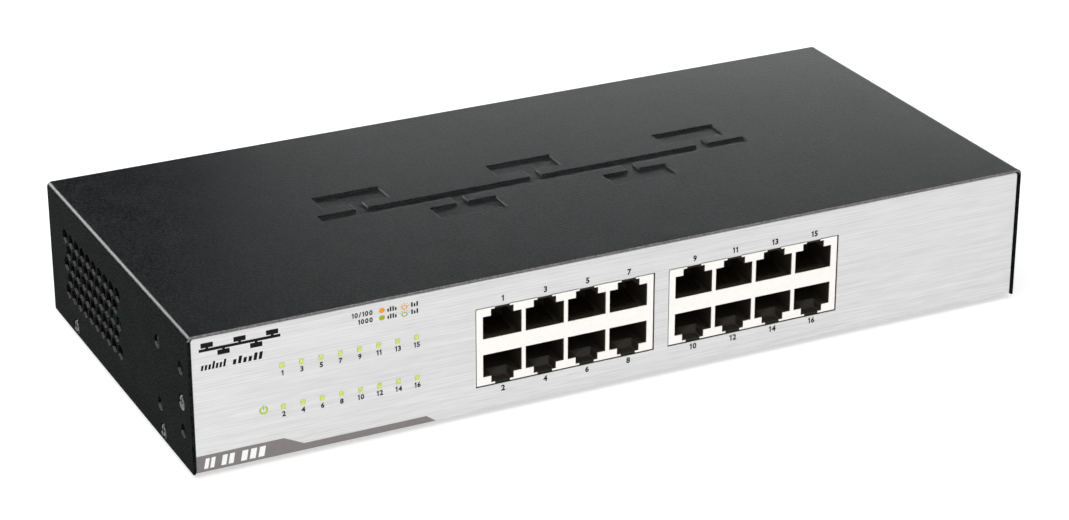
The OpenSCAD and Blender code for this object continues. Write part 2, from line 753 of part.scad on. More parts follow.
// Six-sided outline of the inlet's recess, its two upper corners cut off
module inlet_outline(w, h, c) {
  polygon([[-w/2, -h/2], [w/2, -h/2], [w/2, h/2 - c], [w/2 - c, h/2], [-w/2 + c, h/2], [-w/2, h/2 - c]]);
}

module at_inlet() { translate([inlet_x, rear_y, inlet_z]) rotate([90, 0, 0]) children(); }

module inlet_body() {
  color("#1b1b1c") at_inlet() difference() {
    union() {
      linear_extrude(inlet_d) rounded(inlet_w, inlet_h, 0.9);
      translate([0, 0, sheet + gap]) linear_extrude(2.2) rounded(2*inlet_screw_x + 8, inlet_h + 2.6, 3);
    }
    translate([0, 0, -cut]) linear_extrude(cut + 16.5) inlet_outline(24.2, 16.4, 4.4);
    for (s = [-1, 1]) translate([s*inlet_screw_x, 0, 0]) cylinder(h = 5, r = 1.4);
    for (p = [[-pin_x, pin_low], [pin_x, pin_low], [0, pin_high]]) translate([p[0], p[1], 15])
      linear_extrude(6) square([2.1, 4.1], center = true);
  }
}

module inlet_pins() {
  color("#cfd0cc") at_inlet() for (p = [[-pin_x, pin_low, 3.2], [pin_x, pin_low, 3.2], [0, pin_high, 1.4]]) {
    translate([p[0], p[1], p[2]]) linear_extrude(inlet_d - p[2] + 0.2) square([2, 4], center = true);
    translate([p[0], p[1], inlet_d]) linear_extrude(6.8) square([0.8, 6.3], center = true);
  }
}

module inlet_screws() {
  color("#c2c4c6") for (s = [-1, 1]) translate([inlet_x + s*inlet_screw_x, rear_y, inlet_z]) rotate([-90, 0, 0])
    difference() {
      union() {
        translate([0, 0, -sheet]) cylinder(h = sheet - gap, r1 = 1.7, r2 = 2.8);
        translate([0, 0, -6]) cylinder(h = 5.3, r = 1.35, $fn = 24);
      }
      translate([0, 0, -gap]) driver_recess(1.5, 0.5);
    }
}

// Earth point of the case: a stud with a ring terminal under its screw
module earth_screw() {
  color("#c2c4c6") {
    difference() {
      union() {
        translate([earth_at[0], earth_at[1], floor_z]) cylinder(h = 3, r = 3, $fn = 24);
        translate([earth_at[0], earth_at[1], floor_z + 3]) cylinder(h = 0.8, r = 3.6, $fn = 24);
        stand([earth_at[0], earth_at[1] - 3.6], floor_z + 3, [2.4, 3, 0.8]);
        translate([earth_at[0], earth_at[1], floor_z + 3.8]) cylinder(h = 2, r = 2.9, $fn = 24);
      }
      translate([earth_at[0], earth_at[1], floor_z + 5.8]) driver_recess(1.7, 1.1);
    }
  }
}

// ---------------------------------------------------------------- nodes

top_cover();
base_tray();
front_overlay();
cover_side_screws();
bracket_inserts();
rubber_feet();
rating_label();
light_pipe_upper();
light_pipe_lower();
power_light_pipe();
port_shield_left();
port_shield_right();
port_housing_left();
port_housing_right();
port_contacts_left();
port_contacts_right();
main_board();
board_standoffs();
board_screws();
smd_lamps();
switch_chip();
switch_heatsink();
phy_chips();
phy_heatsinks();
magnetics_modules();
board_inductors();
board_capacitors();
clock_crystal();
memory_chip();
chip_resistors();
dc_header_main();
dc_header_supply();
dc_plugs();
dc_wires_red();
dc_wires_black();
supply_board();
supply_insulator();
supply_standoffs();
supply_screws();
transformer_core();
transformer_bobbin();
bulk_capacitor();
output_capacitors();
supply_heatsinks();
supply_transistors();
bridge_rectifier();
choke_core();
choke_windings();
filter_capacitor();
fuse();
ac_header();
ac_plug();
inlet_wire_live();
inlet_wire_neutral();
inlet_wire_earth();
inlet_sleeves();
inlet_body();
inlet_pins();
inlet_screws();
earth_screw();
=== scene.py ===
"""Looks of the desktop network switch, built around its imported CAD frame.

Lengths are in metres, in the frame's own axes: X to the right seen from the front, Y to the back, Z up.
MM turns millimetres into metres. Places on the object are taken from the boxes of its CAD nodes.
"""

import json
import math
import random

import bmesh
import bpy
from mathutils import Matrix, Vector


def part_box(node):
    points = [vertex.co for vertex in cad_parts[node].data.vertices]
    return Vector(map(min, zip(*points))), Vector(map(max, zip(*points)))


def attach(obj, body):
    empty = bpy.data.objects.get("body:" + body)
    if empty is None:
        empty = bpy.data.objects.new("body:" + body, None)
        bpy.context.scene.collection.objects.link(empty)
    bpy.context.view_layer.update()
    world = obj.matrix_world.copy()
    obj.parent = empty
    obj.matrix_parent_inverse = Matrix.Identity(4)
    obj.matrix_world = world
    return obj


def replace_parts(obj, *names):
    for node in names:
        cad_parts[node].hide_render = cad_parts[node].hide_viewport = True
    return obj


MM = 0.001
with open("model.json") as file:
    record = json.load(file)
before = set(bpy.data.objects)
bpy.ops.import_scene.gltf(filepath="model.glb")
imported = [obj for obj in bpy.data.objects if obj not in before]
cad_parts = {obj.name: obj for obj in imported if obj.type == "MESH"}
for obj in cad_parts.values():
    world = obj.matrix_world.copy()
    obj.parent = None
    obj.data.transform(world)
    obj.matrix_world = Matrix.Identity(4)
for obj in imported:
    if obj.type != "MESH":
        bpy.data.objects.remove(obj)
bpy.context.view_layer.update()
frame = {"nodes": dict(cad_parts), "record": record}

NODES = frame["nodes"]
SLOT_OF = {part["node"]: part["material_slot"] for part in frame["record"]["subparts"]}
PAINT_OF = {entry["slot"]: entry["base_color"][:3] for entry in frame["record"]["materials"]}


# ---------------------------------------------------------------- materials


class Look:
    """A node-based material in the making. Its textures follow the object's own coordinates."""

    def __init__(self, name):
        self.material = bpy.data.materials.new(name)
        self.material.use_nodes = True
        self.tree = self.material.node_tree
        self.shader = self.tree.nodes["Principled BSDF"]
        self.place = self.tree.nodes.new("ShaderNodeTexCoord").outputs["Object"]

    def fix(self, **values):
        """Sets constants on the shader's own sockets; an underscore stands for a space."""
        for name, value in values.items():
            self.shader.inputs[name.replace("_", " ")].default_value = value
        return self

    def link(self, output, socket):
        self.tree.links.new(output, self.shader.inputs[socket])

    def noise(self, scale, stretch=(1, 1, 1), detail=2.0, rough=0.5):
        """Noise of so many cells per metre, its cells made smaller by a factor along each axis."""
        mapping = self.tree.nodes.new("ShaderNodeMapping")
        mapping.inputs["Scale"].default_value = stretch
        self.tree.links.new(self.place, mapping.inputs["Vector"])
        texture = self.tree.nodes.new("ShaderNodeTexNoise")
        texture.inputs["Scale"].default_value = scale
        texture.inputs["Detail"].default_value = detail
        texture.inputs["Roughness"].default_value = rough
        self.tree.links.new(mapping.outputs["Vector"], texture.inputs["Vector"])
        return texture.outputs["Fac"]

    def blend(self, first, second, share):
        """Mean of two values, in which the second has the given share."""
        mix = self.tree.nodes.new("ShaderNodeMix")
        mix.data_type = "FLOAT"
        mix.inputs["Factor"].default_value = share
        self.tree.links.new(first, mix.inputs["A"])
        self.tree.links.new(second, mix.inputs["B"])
        return mix.outputs["Result"]

    def ramp(self, value, *stops):
        """Colours along a value: each stop is a position and a colour."""
        ramp = self.tree.nodes.new("ShaderNodeValToRGB")
        points = ramp.color_ramp.elements
        while len(points) < len(stops):
            points.new(0.5)
        for point, (at, colour) in zip(points, stops):
            point.position = at
            point.color = (*colour, 1.0)
        self.tree.links.new(value, ramp.inputs["Fac"])
        return ramp.outputs["Color"]

    def span(self, value, low, high):
        """Maps the middle of a noise, 0.3 to 0.7, to low..high."""
        span = self.tree.nodes.new("ShaderNodeMapRange")
        for name, number in (("From Min", 0.3), ("From Max", 0.7), ("To Min", low), ("To Max", high)):
            span.inputs[name].default_value = number
        self.tree.links.new(value, span.inputs["Value"])
        return span.outputs["Result"]

    def bump(self, height, depth, strength=1.0):
        """Relief of the given depth, in metres."""
        bump = self.tree.nodes.new("ShaderNodeBump")
        bump.inputs["Distance"].default_value = depth
        bump.inputs["Strength"].default_value = strength
        self.tree.links.new(height, bump.inputs["Height"])
        self.link(bump.outputs["Normal"], "Normal")


def shade(colour, factor):
    return tuple(min(1.0, channel * factor) for channel in colour)


def moulded(name, colour, roughness=0.5, metallic=0.0, grain=900, depth=0.01 * MM, vary=0.12, **fixed):
    """Plain finish with a fine grain: its colour, gloss and relief all vary a little."""
    look = Look(name)
    fine = look.noise(grain, detail=3)
    broad = look.noise(grain / 25, detail=1)
    tones = (0.3, shade(colour, 1 - vary)), (0.7, shade(colour, 1 + vary))
    look.link(look.ramp(look.blend(fine, broad, 0.4), *tones), "Base Color")
    look.link(look.span(broad, roughness * 0.88, roughness * 1.12), "Roughness")
    look.bump(fine, depth)
    return look.fix(Metallic=metallic, **fixed)


def powder_coat(name, gloss, rough, tone=1.0):
    """Near-black textured paint: small rounded grains, with a painted highlight on their tops."""
    look = Look(name)
    grains = look.noise(1450, detail=2, rough=0.6)
    clouds = look.noise(120, detail=1)
    both = look.blend(grains, clouds, 0.1)
    dark, light = shade((0.0015, 0.0018, 0.0019), tone), shade((0.018, 0.0205, 0.021), tone)
    # Colour follows the grains' height, so their tops carry a painted highlight
    look.link(look.ramp(both, (0.41, dark), (0.61, light)), "Base Color")
    look.link(look.span(both, rough, rough + 0.06), "Roughness")
    look.bump(grains, 0.045 * MM)
    return look.fix(Specular_IOR_Level=gloss)


def cut_edge_and_highlight():
    """Punched and sheared edges of the painted sheet: thin paint that shows the metal under it. On the
    upward-facing lower walls of the cover's side holes the same lighter finish is a painted highlight.
    """
    look = Look("cut_edge_and_highlight")
    grains = look.noise(1800, detail=3)
    look.link(look.ramp(grains, (0.35, (0.09, 0.083, 0.08)), (0.65, (0.23, 0.217, 0.21))), "Base Color")
    look.link(look.span(grains, 0.3, 0.42), "Roughness")
    look.bump(grains, 0.02 * MM, 0.6)
    return look.fix(Metallic=0.35, Specular_IOR_Level=0.5)


def brushed_front():
    """Pale aluminium with long fine lines along X."""
    look = Look("brushed_front")
    lines = look.noise(1.0, (45, 45, 3400), detail=3, rough=0.7)
    hair = look.noise(1.0, (90, 90, 7000), detail=2, rough=0.6)
    bands = look.noise(1.0, (6, 6, 600), detail=2)
    both = look.blend(look.blend(lines, hair, 0.35), bands, 0.15)
    tones = [(at, (grey, grey, grey)) for at, grey in ((0.36, 0.58), (0.5, 0.69), (0.64, 0.78))]
    look.link(look.ramp(both, *tones), "Base Color")
    look.link(look.span(both, 0.36, 0.5), "Roughness")
    look.bump(both, 0.008 * MM, 0.5)
    return look.fix(Metallic=0.55)


def light_guide(name, colour):
    """Acrylic tip lit faintly from behind."""
    look = Look(name)
    depth = look.noise(1600, detail=2)
    tones = look.ramp(depth, (0.3, shade(colour, 0.85)), (0.7, shade(colour, 1.15)))
    look.link(tones, "Base Color")
    look.link(tones, "Emission Color")
    look.link(look.span(depth, 0.22, 0.34), "Roughness")
    look.bump(depth, 0.01 * MM, 0.4)
    return look.fix(Emission_Strength=0.05, Specular_IOR_Level=0.5)


def circuit_board(name, mask, track):
    """Solder mask with faint tracks under it."""
    look = Look(name)
    weave = look.noise(500, (1, 3, 1), detail=1)
    fine = look.noise(2600, detail=2)
    look.link(look.ramp(weave, (0.44, mask), (0.5, track), (0.53, mask)), "Base Color")
    look.link(look.span(fine, 0.28, 0.42), "Roughness")
    look.bump(weave, 0.01 * MM, 0.5)
    return look.fix(Specular_IOR_Level=0.5)


def make_looks():
    """One material for each material slot of the record."""
    dull = {"Specular_IOR_Level": 0.15}
    looks = {
        "black_coat": powder_coat("black_coat", 0.12, 0.28),
        "brushed_front": brushed_front(),
        "light_guide": light_guide("light_guide", (0.55, 0.67, 0.14)),
        "power_guide": light_guide("power_guide", (0.38, 0.58, 0.015)),
        "board_green": circuit_board("board_green", (0.012, 0.10, 0.035), (0.03, 0.17, 0.06)),
        "board_tan": circuit_board("board_tan", (0.36, 0.22, 0.07), (0.30, 0.18, 0.06)),
        "nickel_shield": moulded("nickel_shield", (0.93, 0.90, 0.86), 0.34, 0.5, 700, 0.006 * MM, 0.03),
        "gold_plate": moulded("gold_plate", (0.16, 0.10, 0.04), 0.35, 1.0, 2500, 0.004 * MM, 0.1),
        "socket_black": moulded("socket_black", (0.026, 0.022, 0.018), 0.45, grain=1400, vary=0.2, **dull),
        "rubber_black": moulded("rubber_black", (0.02, 0.02, 0.02), 0.85, 0.0, 1800, 0.02 * MM, 0.2),
        "black_screw": moulded("black_screw", (0.012, 0.012, 0.0125), 0.28, grain=1500, vary=0.2),
        "inlet_black": moulded("inlet_black", (0.018, 0.018, 0.02), 0.42, 0.0, 1100, 0.015 * MM, 0.15),
    }
    bare_metals = ("crystal_can", "heatsink_plain", "zinc_plate", "pin_nickel", "copper")
    for slot, colour in PAINT_OF.items():
        if slot in bare_metals:
            looks[slot] = moulded(slot, shade(colour, 0.5), 0.34, 1.0, 1200, 0.012 * MM, 0.12)
        elif slot not in looks:
            looks[slot] = moulded(slot, colour)
    return {slot: look.material for slot, look in looks.items()}


def ink_look(name, colour, vary, roughness=0.5, gloss=0.2):
    return moulded("ink_" + name, colour, roughness, vary=vary, Specular_IOR_Level=gloss).material


LOOKS = make_looks()
CUT_EDGE_AND_HIGHLIGHT = cut_edge_and_highlight().material
# Darker, duller copy of the black coat for the cover's sides: painted shade that keeps the floor's
# reflection off them
SHADED_SIDE_COAT = powder_coat("black_coat_shaded_side", 0.02, 0.75, 0.8).material
INK_BLACK = ink_look("black", (0.003, 0.003, 0.003), 0.3, roughness=0.6, gloss=0.15)
INK_WHITE = ink_look("white", (0.90, 0.90, 0.90), 0.04)
INK_GREY = ink_look("grey", (0.215, 0.198, 0.195), 0.05)
INK_ORANGE = ink_look("orange", (0.86, 0.30, 0.01), 0.08)
INK_OLIVE = ink_look("olive", (0.30, 0.40, 0.01), 0.08)


# ---------------------------------------------------------------- pieces made from the frame's solids


# Width of the rounding of each piece's hard edges, in millimetres
EDGE_WIDTHS = {
    "top_cover": 0.11, "base_tray": 0.06, "front_overlay": 0.10, "cover_side_screws": 0.05,
    "bracket_inserts": 0.10, "rubber_feet": 0.25, "rating_label": 0.03,
    "port_shield_left": 0.05, "port_shield_right": 0.05, "port_housing_left": 0.05,
    "port_housing_right": 0.05, "inlet_body": 0.08, "inlet_pins": 0.08, "inlet_screws": 0.08,
}
EDGE_STEPS = 2
# The same for the sign pressed into the cover
PRESS_WIDTH = 0.24
PRESS_STEPS = 4
# Pieces whose inner corners are rounded too
ROUNDED_INSIDE = ("top_cover", "front_overlay")

# An edge is hard if its faces turn by more than this, in degrees
HARD_TURN = 28
# Side walls lie within this depth, and holes in them this far inside their outline
SIDE_DEPTH = 0.9 * MM
HOLE_MARGIN = 1 * MM
# The cover's bend ends this far under its top, and its rims lie this close to its front and back
BEND_DEPTH = 2 * MM
RIM_DEPTH = 0.2 * MM
# The pressed sign lies this close to the top, and this far from the sides
SIGN_DEPTH = 0.6 * MM
SIGN_MARGIN = 5 * MM

# Numbers of the cover's materials
GLOSS_PAINT, BARE_EDGE_AND_HIGHLIGHT, SHADED_SIDE_PAINT = range(3)


def finished(bm, name, material, keep_sharp=50):
    """Turns a bmesh into a smooth-shaded piece that rides on the body."""
    mesh = bpy.data.meshes.new(name)
    bm.normal_update()
    bm.to_mesh(mesh)
    bm.free()
    mesh.materials.append(material)
    mesh.polygons.foreach_set("use_smooth", [True] * len(mesh.polygons))
    mesh.set_sharp_from_angle(angle=math.radians(keep_sharp))
    piece = bpy.data.objects.new(name, mesh)
    bpy.context.scene.collection.objects.link(piece)
    weighted = piece.modifiers.new("face_weights", "WEIGHTED_NORMAL")
    weighted.weight = 100
    weighted.keep_sharp = True
    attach(piece, "root")
    return piece


def cover_finish(face, low, high):
    """Which of the cover's materials a face has.

    The sides, as far as a third of the bend, get a darker and duller copy of the paint: painted shade that
    keeps the floor's reflection off them. The upward-facing lower walls of their holes get the lighter
    edge finish as a painted highlight, and the rims at the front and at the back get it as bare cut edges.
    """
    middle, normal = face.calc_center_median(), face.normal
    end_gap = min(middle.y - low.y, high.y - middle.y)
    if min(middle.x - low.x, high.x - middle.x) < SIDE_DEPTH:
        # Sideways-facing faces get the painted-shade copy of the coat
        if abs(normal.x) > 0.86:
            return SHADED_SIDE_PAINT
        if middle.z < high.z - BEND_DEPTH:
            in_hole = min(end_gap, middle.z - low.z) > HOLE_MARGIN
            # Upward-facing lower walls of holes in the sides get the lighter edge finish: a painted
            # highlight
            return BARE_EDGE_AND_HIGHLIGHT if in_hole and normal.z > 0.3 else SHADED_SIDE_PAINT
    return BARE_EDGE_AND_HIGHLIGHT if end_gap < RIM_DEPTH and abs(normal.y) > 0.4 else GLOSS_PAINT


def is_hard(edge, low, high, inner):
    """True for an edge to round off: a sharp one that isn't on a hole punched in a side.

    Inner corners stay as they are unless inner is set.
    """
    if len(edge.link_faces) != 2 or edge.calc_face_angle(0) < math.radians(HARD_TURN):
        return False
    if not (inner or edge.is_convex):
        return False
    middle = (edge.verts[0].co + edge.verts[1].co) / 2
    in_side = min(middle.x - low.x, high.x - middle.x) < SIDE_DEPTH
    return not (in_side and low.y + HOLE_MARGIN < middle.y < high.y - HOLE_MARGIN
                and low.z + HOLE_MARGIN < middle.z < high.z - 3 * HOLE_MARGIN)


def is_pressed(edge, low, high):
    """True for an edge of the sign pressed into the cover."""
    return all(low.x + SIGN_MARGIN < corner.co.x < high.x - SIGN_MARGIN
               and low.y + SIGN_MARGIN < corner.co.y < high.y - SIGN_MARGIN
               and corner.co.z > high.z - SIGN_DEPTH for corner in edge.verts)


def round_off(bm, edges, width, steps):
    """Rounds edges by a width in millimetres."""
    bmesh.ops.bevel(bm, geom=edges, offset=width * MM, offset_type="OFFSET", segments=steps, profile=0.5,
                    affect="EDGES", clamp_overlap=False, miter_outer="ARC")


def soft_edged(node, width):
    """Stands for a CAD node with the same solid, whose hard edges are a little rounded."""
    low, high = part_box(node)
    inner = node in ROUNDED_INSIDE
    bm = bmesh.new()
    bm.from_mesh(NODES[node].data)
    bmesh.ops.remove_doubles(bm, verts=bm.verts, dist=0.002 * MM)
    bmesh.ops.dissolve_limit(bm, angle_limit=math.radians(0.4), verts=bm.verts, edges=bm.edges)
    bmesh.ops.connect_verts_concave(bm, faces=bm.faces[:])
    hard = [edge for edge in bm.edges if is_hard(edge, low, high, inner)]
    pressed = [edge for edge in hard if node == "top_cover" and is_pressed(edge, low, high)]
    round_off(bm, [edge for edge in hard if edge not in pressed], width, EDGE_STEPS)
    round_off(bm, [edge for edge in pressed if edge.is_valid], PRESS_WIDTH, PRESS_STEPS)
    bmesh.ops.remove_doubles(bm, verts=bm.verts, dist=0.001 * MM)
    bm.normal_update()
    if node == "top_cover":
        for face in bm.faces:
            face.material_index = cover_finish(face, low, high)
    slot = SLOT_OF[node]
    piece = finished(bm, node + "_soft", LOOKS[slot])
    if node == "top_cover":
        piece.data.materials.append(CUT_EDGE_AND_HIGHLIGHT)
        piece.data.materials.append(SHADED_SIDE_COAT)
    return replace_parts(piece, node)


# ---------------------------------------------------------------- printing


# Gap between two digits, as a share of their height, and the outline of a figure one with a flag
GLYPH_GAP = 0.17
FIGURE_ONE = ((0.17, 0), (0.38, 0), (0.38, 1), (0.22, 1), (0, 0.8), (0, 0.6), (0.17, 0.74))
# Thickness of the ink and how deep its lower side lies in the surface, in millimetres
INK = 0.012
SUNK = 0.004


def flat_glyph(char):
    """Corners and faces of one character, 1 high, with its lower left at zero."""
    if char == "1":
        return FIGURE_ONE, [range(len(FIGURE_ONE))]
    curve = bpy.data.curves.new("glyph", "FONT")
    curve.body = char
    curve.offset = 0.04
    curve.resolution_u = 3
    holder = bpy.data.objects.new("glyph", curve)
    bpy.context.scene.collection.objects.link(holder)
    bpy.context.view_layer.update()
    flat = bpy.data.meshes.new_from_object(holder.evaluated_get(bpy.context.evaluated_depsgraph_get()))
    left, low = (min(v.co[axis] for v in flat.vertices) for axis in (0, 1))
    size = max(v.co.y for v in flat.vertices) - low
    corners = [((v.co.x - left) / size, (v.co.y - low) / size) for v in flat.vertices]
    faces = [list(polygon.vertices) for polygon in flat.polygons]
    bpy.data.objects.remove(holder)
    bpy.data.curves.remove(curve)
    bpy.data.meshes.remove(flat)
    return corners, faces


class Print:
    """Flat shapes on one plane, in millimetres, made into one thin solid layer of ink.

    right and up are the directions that the print's own x and y take, and origin is its zero point.
    """

    def __init__(self, origin, right, up):
        self.bm = bmesh.new()
        self.origin, self.right, self.up = Vector(origin), Vector(right), Vector(up)

    def shape(self, points):
        """A filled outline."""
        self.bm.faces.new([self.bm.verts.new((x, y, 0)) for x, y in points])

    def box(self, x0, y0, x1, y1, slant=0.0):
        """A rectangle that leans to the right by slant times its height."""
        lean = slant * (y1 - y0)
        self.shape([(x0, y0), (x1, y0), (x1 + lean, y1), (x0 + lean, y1)])

    def oval(self, x, y, rx, ry, count=28):
        turns = [2 * math.pi * k / count for k in range(count)]
        self.shape([(x + rx * math.cos(a), y + ry * math.sin(a)) for a in turns])

    def ring(self, x, y, outer, inner, squash, count=24):
        """A flat ring between two radii, its height squashed by a factor."""
        turns = [math.radians(360 * k / count) for k in range(count)]
        rows = [[self.bm.verts.new((x + r * math.cos(a), y + squash * r * math.sin(a), 0)) for a in turns]
                for r in (outer, inner)]
        for k in range(count):
            n = (k + 1) % count
            self.bm.faces.new([rows[0][k], rows[0][n], rows[1][n], rows[1][k]])

    def number(self, text, x, y, height, share=0.5):
        """Digits of a given height; y is their lower edge, and a share of their width lies left of x."""
        glyphs = [flat_glyph(char) for char in text]
        widths = [max(px for px, _ in corners) for corners, _ in glyphs]
        total = (sum(widths) + GLYPH_GAP * (len(text) - 1)) * height
        at = x - total * share
        for (corners, faces), width in zip(glyphs, widths):
            verts = [self.bm.verts.new((at + px * height, y + py * height, 0)) for px, py in corners]
            for face in faces:
                self.bm.faces.new([verts[k] for k in face])
            at += (width + GLYPH_GAP) * height

    def layer(self, name, material, slot, thickness=INK):
        """Makes the layer: its upper side stands above the surface by its thickness."""
        bm = self.bm
        bmesh.ops.remove_doubles(bm, verts=bm.verts, dist=0.008)
        bmesh.ops.recalc_face_normals(bm, faces=bm.faces)
        for face in bm.faces:
            if face.normal.z < 0:
                face.normal_flip()
        made = bmesh.ops.extrude_face_region(bm, geom=bm.faces[:])["geom"]
        raised = [item for item in made if isinstance(item, bmesh.types.BMVert)]
        bmesh.ops.translate(bm, verts=raised, vec=(0, 0, thickness + SUNK))
        bmesh.ops.recalc_face_normals(bm, faces=bm.faces)
        out = self.right.cross(self.up)
        for vert in bm.verts:
            x, y, z = vert.co
            vert.co = self.origin + (self.right * x + self.up * y + out * (z - SUNK)) * MM
        return finished(bm, name, material, keep_sharp=30)


# Places on the front are in millimetres: x from its middle or from its left end, y from its lower edge
OVERLAY_LOW, OVERLAY_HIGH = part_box("front_overlay")
LEFT = -(OVERLAY_HIGH.x - OVERLAY_LOW.x) / MM / 2

# Numbers of the sockets: their height, and their lower edge above and below the row of sockets
SOCKET_PITCH = 14.0
SOCKET_FIGURE, FIGURE_ABOVE, FIGURE_BELOW = 1.95, 1.45, 2.85
# Numbers of the lamps: their height, their lower edge under the lamps' upper edge, and how far the
# outer ones lie inside the row's ends
LAMP_FIGURE, LAMP_FIGURE_DROP, LAMP_END = 1.7, 4.2, 3
# Legend: lower edges of its rows, heights, right end of the speeds, middles of dot and sun
LEGEND_ROWS = (38.5, 36.2)
LEGEND_FIGURE, LEGEND_WORD = 1.6, 1.45
SPEED_END, DOT_X, SUN_X = 55.4, 58.3, 65.4
# The half sun: how flat the ring and the rays are, a ray's near and far end, and half its width
SUN_SQUASH, RAY_SQUASH, RAY_NEAR, RAY_FAR, RAY_HALF = 0.75, 0.85, 1.2, 1.65, 0.13
# Rows of strokes in place of words: left end, right end, number of strokes, seed
LEGEND_WORDS = ((60.0, 63.2, 4, 3), (67.5, 70.0, 3, 5))
MARK_WORDS = ((2.6, 10.4, 7, 7), (12.2, 21.6, 6, 11))
MARK_WORD_Y, MARK_WORD = 31.9, 2.3
# Lean of the strokes, as a share of their height
SLANT = 0.2
# Grey band: its height, its height at the left end, and the white strokes: left end, right end, number
BAND_LOW, BAND_HIGH = 2.2, 5.2
BAND_STROKES = ((2.2, 5.8, 2), (7.4, 11.8, 2), (13.4, 21.4, 3))
STROKE_LOW, STROKE_HIGH = 0.9, 4.1
# Rating label: distance of the printed frame from the edge, and its line
LABEL_EDGE, LABEL_LINE = 2, 0.35
# Fields in that frame: distance from its left side, line, pitch and lengths
FIELD_START, FIELD_LINE, FIELD_PITCH = 3, 0.6, 6
FIELD_LENGTHS = (30, 24, 34, 20)


def front_print():
    return Print((0, OVERLAY_LOW.y, OVERLAY_LOW.z), (1, 0, 0), (0, 0, 1))


def front_box(node):
    """The lower left and upper right corner of a node in the front print's own x and y."""
    return [(x / MM, (z - OVERLAY_LOW.z) / MM) for x, _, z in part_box(node)]


def network_mark(ink, x, y, w, h):
    """The same plain sign as the one pressed into the cover, centred on a point."""
    bar, station_w, station_h = h * 0.2, w * 0.15, h * 0.34
    ink.box(x - w / 2, y - bar / 2, x + w / 2, y + bar / 2)
    for k in range(5):
        side = 1 if k % 2 == 0 else -1
        at = x + (k - 2) * w * 0.2
        foot, neck, top = (y + side * reach for reach in (bar / 2, h / 2 - station_h, h / 2))
        ink.box(at - bar / 2, min(foot, neck), at + bar / 2, max(foot, neck))
        ink.box(at - station_w / 2, min(neck, top), at + station_w / 2, max(neck, top))


def word(ink, x0, x1, y, height, letters, seed, slant=0.0):
    """A row of upright strokes that stands for a printed word and can't be read."""
    rng = random.Random(seed)
    pitch = (x1 - x0) / letters
    for k in range(letters):
        tall = height * rng.choice((0.68, 0.68, 1.0))  # two in three are low letters
        ink.box(x0 + k * pitch, y, x0 + (k + 0.62) * pitch, y + tall, slant)


def print_numbers():
    """Numbers of the sockets and of their lamps."""
    ink = front_print()
    for side, first in (("left", 1), ("right", 9)):
        (x0, z0), (x1, z1) = front_box("port_shield_" + side)
        for k in range(4):
            x = (x0 + x1) / 2 + (k - 1.5) * SOCKET_PITCH
            ink.number(str(first + 2 * k), x, z1 + FIGURE_ABOVE, SOCKET_FIGURE)
            ink.number(str(first + 2 * k + 1), x, z0 - FIGURE_BELOW, SOCKET_FIGURE)
    for row, node in enumerate(("light_pipe_upper", "light_pipe_lower")):
        (x0, _), (x1, z1) = front_box(node)
        for k in range(8):
            x = x0 + LAMP_END + k * (x1 - x0 - 2 * LAMP_END) / 7
            ink.number(str(2 * k + 1 + row), x, z1 - LAMP_FIGURE_DROP, LAMP_FIGURE)
    ink.layer("print_numbers", INK_BLACK, "brushed_front")


def half_sun(ink, x, y):
    """A ring with five rays over it."""
    centre = Vector((x, y))
    ink.ring(x, y, 1.0, 0.62, SUN_SQUASH)
    for k in range(5):
        turn = math.radians(20 + 35 * k)
        across = Vector((-math.sin(turn), math.cos(turn))) * RAY_HALF
        along = Vector((math.cos(turn), RAY_SQUASH * math.sin(turn)))
        near, far = along * RAY_NEAR + centre, along * RAY_FAR + centre
        ink.shape([near - across, far - across, far + across, near + across])


def print_legend():
    """Two lines that explain the lamps: a speed, a dot, and a half sun for blinking."""
    black = front_print()
    for y, speed in zip(LEGEND_ROWS, ("10/100", "1000")):
        black.number(speed, LEFT + SPEED_END, y, LEGEND_FIGURE, share=1)
        for x0, x1, letters, seed in LEGEND_WORDS:
            word(black, LEFT + x0, LEFT + x1, y, LEGEND_WORD, letters, seed)
    black.layer("print_legend", INK_BLACK, "brushed_front")
    for y, name, material in zip(LEGEND_ROWS, ("orange", "olive"), (INK_ORANGE, INK_OLIVE)):
        colour = front_print()
        colour.oval(LEFT + DOT_X, y + 0.75, 0.95, 0.8)
        half_sun(colour, LEFT + SUN_X, y + 0.35)
        colour.layer("print_" + name, material, "brushed_front")


def print_mark():
    """Plain sign and a line under it, upper left."""
    ink = front_print()
    network_mark(ink, LEFT + 14.6, 38.1, 24.6, 4.5)
    for x0, x1, letters, seed in MARK_WORDS:
        word(ink, LEFT + x0, LEFT + x1, MARK_WORD_Y, MARK_WORD, letters, seed, SLANT)
    ink.layer("print_mark", INK_BLACK, "brushed_front")


def print_band():
    """Grey band along the lower edge, and the row of white strokes on it."""
    band = front_print()
    outline = ((0, 0), (74.8, 0), (71.8, BAND_LOW), (33.0, BAND_LOW), (26.8, BAND_HIGH), (0, BAND_HIGH))
    band.shape([(LEFT + x, y) for x, y in outline])
    band.layer("print_band", INK_GREY, "brushed_front")
    white = front_print()
    for x0, x1, count in BAND_STROKES:
        x, pitch = LEFT + x0, (x1 - x0) / count
        for k in range(count):
            white.box(x + k * pitch, STROKE_LOW, x + (k + 0.68) * pitch, STROKE_HIGH, SLANT)
    white.layer("print_white", INK_WHITE, "brushed_front", 2 * INK)


